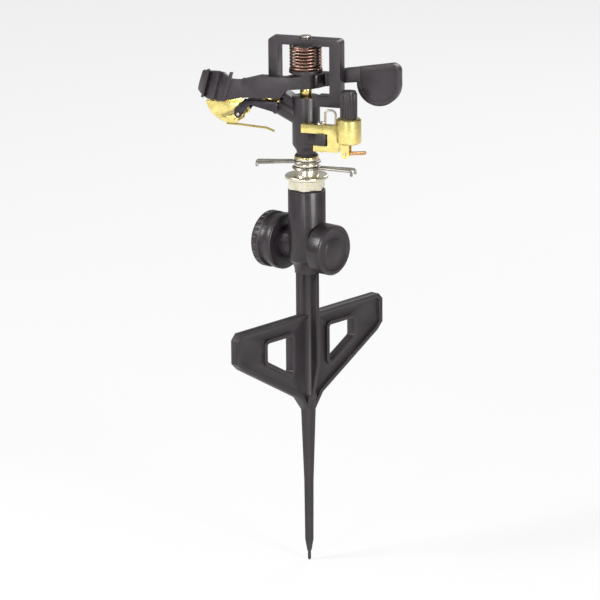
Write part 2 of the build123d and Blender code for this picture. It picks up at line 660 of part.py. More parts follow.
def make_flap_bracket():
    """Return the carrier of the distance flap: a clip behind the nozzle and two arms."""
    clip = Pos(0, 0, RANGE_LENGTH + CLIP_WALL / 2 + SLIP) * (
        Cylinder(CLIP_RADIUS, CLIP_WALL) - Cylinder(NOZZLE_THREAD_RADIUS + SLIP, CLIP_WALL + 2))
    lower_half = Pos(-CLIP_RADIUS / 2 - 2, 0, RANGE_LENGTH) * Box(CLIP_RADIUS + 4, 3 * CLIP_RADIUS, 10)
    clip = along_range(Rot(0, 0, -90) * (clip & lower_half))
    inner = FLAP_HALF_WIDTH + AIR
    root = RANGE_ROOT + RANGE_DIRECTION * (RANGE_LENGTH + CLIP_WALL / 2)
    bracket = clip
    strip = [
        (root.X + 1.0, root.Z - 3.5),
        (root.X - 1.4, root.Z - 4.4),
        (FLAP_PIVOT_X + 9.0, 352.4 - BRACKET_HEIGHT),
        (FLAP_PIVOT_X + 3.0, FLAP_PIVOT_Z - 0.5),
        (FLAP_PIVOT_X - 3.0, FLAP_PIVOT_Z - 0.5),
        (FLAP_PIVOT_X - 3.0, FLAP_PIVOT_Z + 3.0),
        (FLAP_PIVOT_X + 5.0, 352.0),
        (root.X + 1.0, 352.4),
    ]
    for side in (1, -1):
        middle = side * (inner + BRACKET_SHEET / 2)
        arm = side_plate(strip, BRACKET_SHEET, middle)
        boss = Pos(FLAP_PIVOT_X, middle, FLAP_PIVOT_Z) * Rot(90, 0, 0) * Cylinder(3.0, BRACKET_SHEET)
        arm += boss
        tab_width = inner + BRACKET_SHEET - CLIP_RADIUS + 2.0
        tab = Pos(0, side * (CLIP_RADIUS - 2.0 + tab_width / 2), 0) * Box(5.0, tab_width, CLIP_WALL)
        bracket += arm
        bracket += Plane(origin=root, x_dir=(math.sin(math.radians(RANGE_ANGLE)), 0,
                                             math.cos(math.radians(RANGE_ANGLE))),
                         z_dir=RANGE_DIRECTION) * tab
    hole = Pos(FLAP_PIVOT_X, 0, FLAP_PIVOT_Z) * Rot(90, 0, 0) * Cylinder(FLAP_PIVOT_RADIUS + SLIP / 2, 60)
    return bracket - hole


def make_flap_pivot():
    """Return the pin that carries the distance flap."""
    reach = 2 * (FLAP_HALF_WIDTH + AIR + BRACKET_SHEET) + 1.2
    return Pos(FLAP_PIVOT_X, 0, FLAP_PIVOT_Z) * Rot(90, 0, 0) * Cylinder(FLAP_PIVOT_RADIUS, reach)


def make_distance_flap():
    """Return the scoop: a curved floor between two cheeks that hang on the pivot."""
    centre = (FLAP_ARC_X, FLAP_ARC_Z)
    disc = Pos(*centre) * Circle(FLAP_ARC_RADIUS)
    keep = make_face(Polyline(
        (-90, 320), (FLAP_ARC_X + 1.5, 320), (FLAP_PIVOT_X, FLAP_PIVOT_Z - 2),
        (FLAP_PIVOT_X, FLAP_TOP_Z), (-90, FLAP_TOP_Z), close=True))
    cheek_face = disc & keep
    cheek_face += Pos(FLAP_PIVOT_X, FLAP_PIVOT_Z) * Circle(FLAP_EAR_RADIUS)
    floor_face = (disc - Pos(*centre) * Circle(FLAP_ARC_RADIUS - FLAP_SHEET)) & keep
    upright = Plane(origin=(0, 0, 0), x_dir=(1, 0, 0), z_dir=(0, -1, 0))
    flap = extrude(upright * floor_face, amount=FLAP_HALF_WIDTH, both=True)
    for side in (1, -1):
        middle = side * (FLAP_HALF_WIDTH - FLAP_SHEET / 2)
        seat = Plane(origin=(0, middle, 0), x_dir=(1, 0, 0), z_dir=(0, -1, 0))
        flap += extrude(seat * cheek_face, amount=FLAP_SHEET / 2, both=True)
    hole = Pos(FLAP_PIVOT_X, 0, FLAP_PIVOT_Z) * Rot(90, 0, 0) * Cylinder(FLAP_PIVOT_RADIUS + SLIP, 60)
    return flap - hole


def make_flap_handle():
    """Return the bent wire that sets the flap, along the near cheek and back under the tube."""
    y = -(FLAP_HALF_WIDTH - FLAP_SHEET - HANDLE_WIRE / 2)
    low = FLAP_ARC_Z - FLAP_ARC_RADIUS - HANDLE_WIRE / 2
    route = [
        (FLAP_ARC_X - 4.0, y, low),
        (FLAP_ARC_X + 5.0, y, low - 0.2),
        (HANDLE_END_X - 6.0, y, HANDLE_END_Z + 0.6),
        (HANDLE_END_X, y, HANDLE_END_Z - 1.6),
    ]
    return wire(route, HANDLE_WIRE, 4.0)


def make_fulcrum_pin():
    """Return the headed pin that holds the arm in the bridge."""
    pin = drum_between(PIN_RADIUS, PIN_BOTTOM_Z, BRIDGE_TOP_Z + 0.1)
    return pin + drum_between(PIN_HEAD_RADIUS, BRIDGE_TOP_Z, BRIDGE_TOP_Z + PIN_HEAD)


def make_hub_sleeve():
    """Return the spacer that carries the arm's hub above the barrel."""
    return ring_between(SLEEVE_RADIUS, PIN_RADIUS + SLIP, BARREL_TOP_Z, ARM_BOTTOM_Z - 2 * SLIP)


def make_spring_cap():
    """Return the cap and core over the arm spring, under the bridge's bar."""
    cap = drum_between(SPRING_CAP_RADIUS, SPRING_CAP_Z, BRIDGE_BAR_Z)
    cap += drum_between(SPRING_CORE_RADIUS, SPRING_CAP_Z - SPRING_CORE_LENGTH, SPRING_CAP_Z)
    return cap - drum_between(PIN_RADIUS + SLIP, SPRING_CAP_Z - SPRING_CORE_LENGTH - 1, BRIDGE_TOP_Z)


def arm_side_outline():
    """Return the arm's outline from spoon to neck, as (x, z) points."""
    return [
        (SPOON_TIP_X, 353.5),
        (SPOON_TIP_X + 7.5, 369.8),
        (-66, 371.7),
        (-59, 371.5),
        (-52, 367.2),
        (-44, 367.2),
        (-32, ARM_TOP_Z),
        (-9, ARM_TOP_Z),
        (14, 371.4),
        (27, 375.0),
        (PADDLE_ROOT_X + 2, 376.8),
        (PADDLE_ROOT_X + 2, 366.4),
        (27, 365.0),
        (14, ARM_BOTTOM_Z),
        (-11, ARM_BOTTOM_Z),
        (-15.5, 355.0),
        (-44, 354.0),
        (-60, 350.2),
        (-74, 349.9),
    ]


def arm_plan_outline():
    """Return the arm seen from above: it passes one post in front and the other behind."""
    inner = ARM_INNER_Y
    outer = ARM_INNER_Y + ARM_WIDTH
    return [
        (SPOON_ROOT_X, -outer),
        (-9, -outer),
        (9.5, -2),
        (13, inner),
        (PADDLE_ROOT_X + 2, inner),
        (PADDLE_ROOT_X + 2, outer),
        (9, outer),
        (-9.5, 2),
        (-13, -inner),
        (SPOON_ROOT_X, -inner),
    ]


def make_impact_arm():
    """Return the arm: hub with spring cup, two beams, ribbed spoon and rimmed paddle."""
    plan = make_face(Polyline(arm_plan_outline(), close=True))
    outer = ARM_INNER_Y + ARM_WIDTH
    vane = make_face(
        ThreePointArc((SPOON_ROOT_X, -outer), (-69, -10.5), (SPOON_TIP_X, 7.0))
        + Line((SPOON_TIP_X, 7.0), (SPOON_TIP_X + 2.0, 7.0 + SPOON_WALL * 0.7))
        + ThreePointArc(
            (SPOON_TIP_X + 2.0, 7.0 + SPOON_WALL * 0.7), (-68, -10.5 + SPOON_WALL),
            (SPOON_ROOT_X, -outer + SPOON_WALL))
        + Line((SPOON_ROOT_X, -outer + SPOON_WALL), (SPOON_ROOT_X, -outer)))
    blank = extrude(Pos(0, 0, 345) * (plan + vane), amount=32)
    beams = blank & side_plate(arm_side_outline(), 60)

    for low_x, high_x in ((-79.5, -73.0), (-69.5, -63.5), (-60.0, -53.5)):
        rib = side_plate(
            [(low_x, 350.6), (high_x, 372.6), (high_x + SPOON_RIB, 372.6), (low_x + SPOON_RIB, 350.6)], 40, -4)
        skin = make_face(
            ThreePointArc((SPOON_ROOT_X, -outer - 1.0), (-69, -10.5 - SPOON_RIB_HEIGHT),
                          (SPOON_TIP_X - 1.0, 6.0 - SPOON_RIB_HEIGHT))
            + Line((SPOON_TIP_X - 1.0, 6.0 - SPOON_RIB_HEIGHT), (SPOON_TIP_X, 7.0))
            + ThreePointArc((SPOON_TIP_X, 7.0), (-69, -10.0), (SPOON_ROOT_X, -outer + 1.0))
            + Line((SPOON_ROOT_X, -outer + 1.0), (SPOON_ROOT_X, -outer - 1.0)))
        beams += rib & extrude(Pos(0, 0, 345) * skin, amount=32)

    hub = drum_between(HUB_RADIUS, ARM_BOTTOM_Z, HUB_TOP_Z)
    hub += drum_between(CUP_RADIUS, HUB_TOP_Z, CUP_TOP_Z)

    middle = ARM_INNER_Y + ARM_WIDTH / 2
    blade_face = make_face(
        Polyline(
            (PADDLE_ROOT_X, 366.4), (PADDLE_ROOT_X, 376.7), (PADDLE_TIP_X - 6.0, PADDLE_HIGH_Z))
        + ThreePointArc(
            (PADDLE_TIP_X - 6.0, PADDLE_HIGH_Z), (PADDLE_TIP_X - 1.8, PADDLE_HIGH_Z - 1.6),
            (PADDLE_TIP_X, PADDLE_HIGH_Z - 6.0))
        + Line((PADDLE_TIP_X, PADDLE_HIGH_Z - 6.0), (PADDLE_TIP_X, 367.0))
        + ThreePointArc((PADDLE_TIP_X, 367.0), (54.0, PADDLE_LOW_Z), (PADDLE_ROOT_X, 366.4)))
    upright = Plane(origin=(0, middle, 0), x_dir=(1, 0, 0), z_dir=(0, -1, 0))
    blade = extrude(upright * blade_face, amount=PADDLE_WALL / 2, both=True)
    pocket = offset(blade_face, -PADDLE_RIM, kind=Kind.INTERSECTION)
    for side in (1, -1):
        floor = side * (PADDLE_WALL / 2 - PADDLE_RECESS)
        seat = Plane(origin=(0, middle - floor, 0), x_dir=(1, 0, 0), z_dir=(0, -side, 0))
        blade -= extrude(seat * pocket, amount=PADDLE_RECESS + 1)
    arm = beams + hub + blade
    return arm - drum_between(BUSHING_RADIUS + SLIP / 2, ARM_BOTTOM_Z - 1, CUP_TOP_Z + 1)


def make_arm_bushing():
    """Return the brass bush in the arm's hub."""
    return ring_between(BUSHING_RADIUS, PIN_RADIUS + SLIP, ARM_BOTTOM_Z, CUP_TOP_Z)


def make_arm_spring():
    """Return the coil that brings the arm back against the bridge."""
    return coil(SPRING_RADIUS, SPRING_WIRE, CUP_TOP_Z, BRIDGE_BAR_Z - AIR, SPRING_TURNS)


def make_trip_pivot():
    """Return the upright pin of the trip lever."""
    return drum_between(
        TRIP_PIVOT_RADIUS, TRIP_LOWER_LOW_Z - 0.8, TRIP_UPPER_HIGH_Z + 0.8, TRIP_PIVOT_X, TRIP_Y)


def make_trip_lever():
    """Return the forked lever with its drum and the two ears of the trip finger."""
    fork = [
        (TRIP_TAIL_X, TRIP_UPPER_LOW_Z),
        (TRIP_TAIL_X, TRIP_UPPER_HIGH_Z),
        (DRUM_X - 6, TRIP_UPPER_HIGH_Z),
        (DRUM_X - 6, DRUM_LOW_Z),
        (DRUM_X - 7.5, TRIP_LOWER_LOW_Z),
        (TRIP_LOWER_START_X, TRIP_LOWER_LOW_Z),
        (TRIP_LOWER_START_X, TRIP_LOWER_HIGH_Z),
        (TRIP_THROAT_X, TRIP_LOWER_HIGH_Z),
        (TRIP_THROAT_X, TRIP_UPPER_LOW_Z),
    ]
    lever = side_plate(fork, TRIP_BAR_DEPTH, TRIP_Y)
    drum = drum_between(DRUM_RADIUS, DRUM_LOW_Z, DRUM_HIGH_Z, DRUM_X, TRIP_Y)
    lever += chamfer(drum.edges().filter_by(GeomType.CIRCLE), 0.9)
    for side in (1, -1):
        y = TRIP_Y + side * (FINGER_WIDTH / 2 + AIR + 0.8)
        ear = side_plate([
            (FINGER_X - FINGER_EAR_RADIUS, FINGER_Z),
            (FINGER_X - FINGER_EAR_RADIUS, DRUM_LOW_Z + 1),
            (FINGER_X + FINGER_EAR_RADIUS, DRUM_LOW_Z + 1),
            (FINGER_X + FINGER_EAR_RADIUS, FINGER_Z),
        ], 1.6, y)
        ear += Pos(FINGER_X, y, FINGER_Z) * Rot(90, 0, 0) * Cylinder(FINGER_EAR_RADIUS, 1.6)
        lever += ear
    lever -= drum_between(
        TRIP_PIVOT_RADIUS + SLIP, TRIP_LOWER_LOW_Z - 1, TRIP_UPPER_HIGH_Z + 1, TRIP_PIVOT_X, TRIP_Y)
    lever -= drum_between(STUD_RADIUS + SLIP / 2, DRUM_HIGH_Z - 8, DRUM_HIGH_Z + 1, DRUM_X, TRIP_Y)
    lever -= Pos(FINGER_X, TRIP_Y, FINGER_Z) * Rot(90, 0, 0) * Cylinder(FINGER_PIN_RADIUS + SLIP / 2, 12)
    return lever


def make_trip_head():
    """Return the black ribbed head on the lever's drum, with its stud."""
    low = DRUM_HIGH_Z
    high = DRUM_HIGH_Z + HEAD_KNOB_HEIGHT
    knob = drum_between(HEAD_KNOB_RADIUS - HEAD_KNOB_RIB_RADIUS, low, high, DRUM_X, TRIP_Y)
    for step in range(HEAD_KNOB_RIBS):
        spot = math.radians(360 * step / HEAD_KNOB_RIBS)
        reach = HEAD_KNOB_RADIUS - HEAD_KNOB_RIB_RADIUS
        knob += drum_between(
            HEAD_KNOB_RIB_RADIUS, low + 1.0, high - 1.4,
            DRUM_X + reach * math.cos(spot), TRIP_Y + reach * math.sin(spot))
    return knob + drum_between(STUD_RADIUS, DRUM_HIGH_Z - 7.5, low, DRUM_X, TRIP_Y)


def make_trip_spring():
    """Return the bright wire arch from the pivot to the drum."""
    foot = TRIP_UPPER_HIGH_Z + TRIP_SPRING_WIRE / 2
    eye = wire_ring(
        TRIP_PIVOT_RADIUS + AIR + TRIP_SPRING_WIRE / 2, TRIP_SPRING_WIRE, foot, TRIP_PIVOT_X, TRIP_Y)
    start = TRIP_PIVOT_X + TRIP_PIVOT_RADIUS + AIR + TRIP_SPRING_WIRE / 2
    end = DRUM_X - DRUM_RADIUS - TRIP_SPRING_WIRE / 2 - SLIP
    route = [
        (start, TRIP_Y, foot),
        (start + 0.4, TRIP_Y, TRIP_SPRING_TOP_Z - TRIP_SPRING_WIRE / 2),
        (end, TRIP_Y, TRIP_SPRING_TOP_Z - TRIP_SPRING_WIRE / 2),
        (end, TRIP_Y, foot),
    ]
    return eye + wire(route, TRIP_SPRING_WIRE, 3.2)


def make_finger_pin():
    """Return the cross pin of the trip finger."""
    reach = FINGER_WIDTH + 2 * AIR + 2 * 1.6 + 0.8
    return Pos(FINGER_X, TRIP_Y, FINGER_Z) * Rot(90, 0, 0) * Cylinder(FINGER_PIN_RADIUS, reach)


def make_trip_finger():
    """Return the copper finger, flipped up; flipped down it meets the arc stops."""
    half = FINGER_THICK / 2
    tip = FINGER_X + FINGER_LENGTH
    strip = [
        (FINGER_X, FINGER_Z - half),
        (tip, FINGER_Z + 1.4 - half),
        (tip, FINGER_Z + 1.4 + half),
        (FINGER_X, FINGER_Z + half),
    ]
    finger = side_plate(strip, FINGER_WIDTH, TRIP_Y)
    finger += Pos(FINGER_X, TRIP_Y, FINGER_Z) * Rot(90, 0, 0) * Cylinder(2.4, FINGER_WIDTH)
    hole = Pos(FINGER_X, TRIP_Y, FINGER_Z) * Rot(90, 0, 0) * Cylinder(FINGER_PIN_RADIUS + SLIP, 12)
    return finger - hole


FIXED_PIECES = {
    "stake": make_stake,
    "inline_tee": make_inline_tee,
    "hose_coupling": make_hose_coupling,
    "hose_washer": make_hose_washer,
    "end_cap": make_end_cap,
    "end_cap_washer": make_end_cap_washer,
    "bearing_nipple": make_bearing_nipple,
    "nipple_gasket": make_nipple_gasket,
    "bearing_spring": make_bearing_spring,
}

HEAD_PIECES = {
    "bearing_tube": make_bearing_tube,
    "lower_thrust_washer": make_lower_thrust_washer,
    "upper_thrust_washer": make_upper_thrust_washer,
    "seal_washer": make_seal_washer,
    "sprinkler_body": make_sprinkler_body,
    "nozzle": make_nozzle,
    "flap_bracket": make_flap_bracket,
    "flap_pivot": make_flap_pivot,
    "distance_flap": make_distance_flap,
    "flap_handle": make_flap_handle,
    "fulcrum_pin": make_fulcrum_pin,
    "hub_sleeve": make_hub_sleeve,
    "spring_cap": make_spring_cap,
    "impact_arm": make_impact_arm,
    "arm_bushing": make_arm_bushing,
    "arm_spring": make_arm_spring,
    "trip_pivot": make_trip_pivot,
    "trip_lever": make_trip_lever,
    "trip_head": make_trip_head,
    "trip_spring": make_trip_spring,
    "finger_pin": make_finger_pin,
    "trip_finger": make_trip_finger,
}

os.makedirs("parts", exist_ok=True)
for name, make in FIXED_PIECES.items():
    export_step(make(), f"parts/{name}.step")
for name, make in HEAD_PIECES.items():
    export_step(make().rotate(Axis.Z, HEAD_TURN), f"parts/{name}.step")
export_step(make_arc_stop(STOP_LOW_Z, STOP_LOW_DROP, STOP_LOW_TURN), "parts/arc_stop_low.step")
export_step(make_arc_stop(STOP_HIGH_Z, STOP_HIGH_DROP, STOP_HIGH_TURN), "parts/arc_stop_high.step")
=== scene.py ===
"""Looks of a part-circle impact sprinkler on a ground spike, dressed around its fixed frame.

The frame holds every rigid piece at its real size. This script gives each one its finish and soft
moulded edges, adds the coupling's thread, winds the arm spring from round wire, and sets up a plain
studio with the camera where the photograph was taken from.
"""
from __future__ import annotations

import json
import logging
import math
from dataclasses import dataclass, field
from enum import Enum

import bmesh
import bpy
from mathutils import Matrix, Vector

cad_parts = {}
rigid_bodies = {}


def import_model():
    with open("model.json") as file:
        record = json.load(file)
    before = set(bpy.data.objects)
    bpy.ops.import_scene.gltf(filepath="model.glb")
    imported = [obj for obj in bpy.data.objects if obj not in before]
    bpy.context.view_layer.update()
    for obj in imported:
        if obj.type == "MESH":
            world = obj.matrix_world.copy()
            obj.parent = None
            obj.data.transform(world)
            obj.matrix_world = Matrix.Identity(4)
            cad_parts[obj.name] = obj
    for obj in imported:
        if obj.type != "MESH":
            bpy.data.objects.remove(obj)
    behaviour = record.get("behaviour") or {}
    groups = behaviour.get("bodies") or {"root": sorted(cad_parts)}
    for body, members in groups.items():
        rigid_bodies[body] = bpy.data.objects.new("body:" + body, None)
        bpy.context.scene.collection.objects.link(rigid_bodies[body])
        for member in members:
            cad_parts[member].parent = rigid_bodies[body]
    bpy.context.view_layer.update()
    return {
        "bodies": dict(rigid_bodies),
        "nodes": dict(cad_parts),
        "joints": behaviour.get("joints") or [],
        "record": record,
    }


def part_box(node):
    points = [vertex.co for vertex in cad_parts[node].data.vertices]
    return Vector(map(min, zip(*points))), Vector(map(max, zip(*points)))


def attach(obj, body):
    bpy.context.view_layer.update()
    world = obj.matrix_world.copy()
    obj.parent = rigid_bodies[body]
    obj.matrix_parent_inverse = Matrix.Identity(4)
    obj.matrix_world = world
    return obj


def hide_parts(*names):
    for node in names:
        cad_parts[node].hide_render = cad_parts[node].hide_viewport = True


LOG = logging.getLogger("sprinkler")
MM = 0.001
# Edges sharper than this are softened, and points closer than this are one.
SOFTENED_ANGLE = math.radians(32)
WELD_MM = 0.002


def srgb(code: str) -> tuple[float, float, float, float]:
    """Turn an sRGB hex colour into linear values.

    Args:
        code: The colour as six hex digits after a hash.

    Returns:
        Linear red, green and blue, with an alpha of 1.
    """
    parts = [int(code[start:start + 2], 16) / 255 for start in (1, 3, 5)]
    linear = [part / 12.92 if part <= 0.04045 else ((part + 0.055) / 1.055) ** 2.4 for part in parts]
    return (*linear, 1.0)


def add_node(
    tree: bpy.types.NodeTree,
    kind: str,
    settings: dict[str | int, object] | None = None,
    links: dict[str | int, bpy.types.NodeSocket] | None = None,
) -> bpy.types.Node:
    """Add one shader node.

    Args:
        tree: The material's node tree.
        kind: The node's type.
        settings: Values for its sockets, by name or number, and for its own properties.
        links: Sockets that feed its inputs, by name or number.

    Returns:
        The new node.
    """
    node = tree.nodes.new(kind)
    for key, value in (settings or {}).items():
        if isinstance(key, str) and hasattr(node, key):
            setattr(node, key, value)
    for key, value in (settings or {}).items():
        if isinstance(key, int) or (not hasattr(node, key) and key in node.inputs):
            node.inputs[key].default_value = value
    for key, socket in (links or {}).items():
        tree.links.new(socket, node.inputs[key])
    return node


class Form(Enum):
    """How a metal piece was formed, which sets the direction of its fine marks."""

    TURNED = "turned"
    DRAWN = "drawn"
    PRESSED = "pressed"


@dataclass(frozen=True)
class Finish:
    """A surface finish: what every material of this object has in common."""

    name: str
    colour: str
    roughness: float

    def fresh(self) -> tuple[bpy.types.Material, bpy.types.NodeTree, bpy.types.Node, bpy.types.NodeSocket]:
        """Start a material with one shader and the coordinates of the piece.

        Returns:
            The material, its node tree, its shader and the coordinates' socket, in metres.
        """
        material = bpy.data.materials.new(self.name)
        material.use_nodes = True
        tree = material.node_tree
        tree.nodes.clear()
        shader = add_node(tree, "ShaderNodeBsdfPrincipled", {"Base Color": srgb(self.colour)})
        shader.inputs["Roughness"].default_value = self.roughness
        add_node(tree, "ShaderNodeOutputMaterial", links={"Surface": shader.outputs["BSDF"]})
        place = add_node(tree, "ShaderNodeTexCoord")
        return material, tree, shader, place.outputs["Object"]

    def edge_mask(
        self, tree: bpy.types.NodeTree, radius: float, low: float, high: float
    ) -> bpy.types.NodeSocket:
        """Return a mask that is white along worn edges.

        Args:
            tree: The material's node tree.
            radius: How far the wear reaches from an edge, in metres.
            low: The normal's agreement at which wear is full.
            high: The normal's agreement at which wear ends.

        Returns:
            The mask's socket.
        """
        rounded = add_node(tree, "ShaderNodeBevel", {"Radius": radius, "samples": 4})
        plain = add_node(tree, "ShaderNodeNewGeometry")
        agreement = add_node(
            tree, "ShaderNodeVectorMath", {"operation": "DOT_PRODUCT"},
            {0: rounded.outputs["Normal"], 1: plain.outputs["Normal"]})
        mask = add_node(
            tree, "ShaderNodeMapRange",
            {"From Min": high, "From Max": low, "To Min": 0.0, "To Max": 1.0},
            {"Value": agreement.outputs["Value"]})
        return mask.outputs["Result"]


@dataclass(frozen=True)
class MouldedNylon(Finish):
    """Glass-filled nylon, injection moulded: dark, satin, with flow marks, a fine grain and a painted
    sheen laid in the flow marks.
    """

    # A lighter tone that the flow clouds mix in: painted sheen.
    glare: str = "#453A41"
    grain_mm: float = 0.9
    flow_mm: float = 26.0
    wear: float = 0.35

    def make(self) -> bpy.types.Material:
        """Return the material."""
        material, tree, shader, place = self.fresh()
        # Flow marks: broad soft clouds where the melt cooled at different speeds. They vary the gloss, and
        # the lighter glare colour mixed into them is a painted sheen.
        flow = add_node(
            tree, "ShaderNodeTexNoise",
            {"Scale": 1 / (self.flow_mm * MM), "Detail": 4.0, "Roughness": 0.55, "Distortion": 0.7},
            {"Vector": place})
        # Grain of the mould's spark-eroded wall. The real one is finer than a pixel.
        grain = add_node(
            tree, "ShaderNodeTexNoise",
            {"Scale": 1 / (self.grain_mm * MM), "Detail": 2.0, "Roughness": 0.6}, {"Vector": place})
        # How much painted sheen, the glare colour, each flow cloud gets.
        painted_sheen_share = add_node(
            tree, "ShaderNodeMapRange",
            {"From Min": 0.35, "From Max": 0.7, "To Min": 0.0, "To Max": 0.35},
            {"Value": flow.outputs["Fac"]})
        # The nylon colour with the painted sheen of the glare colour mixed in.
        body = add_node(
            tree, "ShaderNodeMix",
            {"data_type": "RGBA", 6: srgb(self.colour), 7: srgb(self.glare)},
            {0: painted_sheen_share.outputs["Result"]})
        edges = self.edge_mask(tree, 0.8 * MM, 0.90, 0.995)
        patchy = add_node(
            tree, "ShaderNodeMath", {"operation": "MULTIPLY"}, {0: edges, 1: grain.outputs["Fac"]})
        rubbed = add_node(
            tree, "ShaderNodeMath", {"operation": "MULTIPLY", 1: self.wear}, {0: patchy.outputs["Value"]})
        worn = add_node(
            tree, "ShaderNodeMix", {"data_type": "RGBA", 7: srgb("#8A7F84")},
            {0: rubbed.outputs["Value"], 6: body.outputs[2]})
        gloss = add_node(
            tree, "ShaderNodeMapRange",
            {"From Min": 0.3, "From Max": 0.7,
             "To Min": self.roughness - 0.07, "To Max": self.roughness + 0.1},
            {"Value": flow.outputs["Fac"]})
        bump = add_node(
            tree, "ShaderNodeBump", {"Strength": 0.10, "Distance": 0.12 * MM},
            {"Height": grain.outputs["Fac"]})
        tree.links.new(worn.outputs[2], shader.inputs["Base Color"])
        tree.links.new(gloss.outputs["Result"], shader.inputs["Roughness"])
        tree.links.new(bump.outputs["Normal"], shader.inputs["Normal"])
        shader.inputs["IOR"].default_value = 1.53
        return material


@dataclass(frozen=True)
class Metal(Finish):
    """A bare or plated metal, with the marks that its forming left and a slight tarnish."""

    # The colour laid in random clouds. On most metals it is tarnish; on the arc stops' wire it is painted
    # shade.
    tarnish: str = "#6B5A3C"
    form: Form = Form.PRESSED
    mark_mm: float = 0.5
    patch_mm: float = 7.0
    patch: float = 0.3

    def marks(self, tree: bpy.types.NodeTree, place: bpy.types.NodeSocket) -> bpy.types.NodeSocket:
        """Return the height of the forming marks.

        Args:
            tree: The material's node tree.
            place: The coordinates' socket.

        Returns:
            The height's socket.
        """
        if self.form is Form.TURNED:
            # Tool marks of a lathe run round the riser's axis.
            stretch = (0.04, 0.04, 1.0)
        elif self.form is Form.DRAWN:
            # Die lines of drawn wire are long and faint.
            stretch = (1.0, 1.0, 0.12)
        else:
            stretch = (1.0, 1.0, 1.0)
        mapped = add_node(tree, "ShaderNodeMapping", {"Scale": stretch}, {"Vector": place})
        noise = add_node(
            tree, "ShaderNodeTexNoise",
            {"Scale": 1 / (self.mark_mm * MM), "Detail": 3.0, "Roughness": 0.6},
            {"Vector": mapped.outputs["Vector"]})
        return noise.outputs["Fac"]

    def make(self) -> bpy.types.Material:
        """Return the material."""
        material, tree, shader, place = self.fresh()
        cloud = add_node(
            tree, "ShaderNodeTexNoise",
            {"Scale": 1 / (self.patch_mm * MM), "Detail": 3.0, "Roughness": 0.5, "Distortion": 0.5},
            {"Vector": place})
        amount = add_node(
            tree, "ShaderNodeMapRange",
            {"From Min": 0.42, "From Max": 0.72, "To Min": 0.0, "To Max": self.patch},
            {"Value": cloud.outputs["Fac"]})
        colour = add_node(
            tree, "ShaderNodeMix",
            {"data_type": "RGBA", 6: srgb(self.colour), 7: srgb(self.tarnish)},
            {0: amount.outputs["Result"]})
        height = self.marks(tree, place)
        gloss = add_node(
            tree, "ShaderNodeMapRange",
            {"From Min": 0.3, "From Max": 0.7,
             "To Min": self.roughness - 0.05, "To Max": self.roughness + 0.09},
            {"Value": height})
        bump = add_node(
            tree, "ShaderNodeBump", {"Strength": 0.15, "Distance": 0.05 * MM}, {"Height": height})
        tree.links.new(colour.outputs[2], shader.inputs["Base Color"])
        tree.links.new(gloss.outputs["Result"], shader.inputs["Roughness"])
        tree.links.new(bump.outputs["Normal"], shader.inputs["Normal"])
        shader.inputs["Metallic"].default_value = 1.0
        return material


@dataclass(frozen=True)
class Compound(Finish):
    """A plain washer compound, rubber or acetal, with a faint bloom of dust."""

    bloom: str = "#6E6A66"
    ior: float = 1.5

    def make(self) -> bpy.types.Material:
        """Return the material."""
        material, tree, shader, place = self.fresh()
        dust = add_node(
            tree, "ShaderNodeTexNoise", {"Scale": 1 / (2.5 * MM), "Detail": 4.0, "Roughness": 0.65},
            {"Vector": place})
        amount = add_node(
            tree, "ShaderNodeMapRange",
            {"From Min": 0.5, "From Max": 0.8, "To Min": 0.0, "To Max": 0.25},
            {"Value": dust.outputs["Fac"]})
        colour = add_node(
            tree, "ShaderNodeMix",
            {"data_type": "RGBA", 6: srgb(self.colour), 7: srgb(self.bloom)},
            {0: amount.outputs["Result"]})
        bump = add_node(
            tree, "ShaderNodeBump", {"Strength": 0.12, "Distance": 0.1 * MM},
            {"Height": dust.outputs["Fac"]})
        tree.links.new(colour.outputs[2], shader.inputs["Base Color"])
        tree.links.new(bump.outputs["Normal"], shader.inputs["Normal"])
        shader.inputs["IOR"].default_value = self.ior
        return material


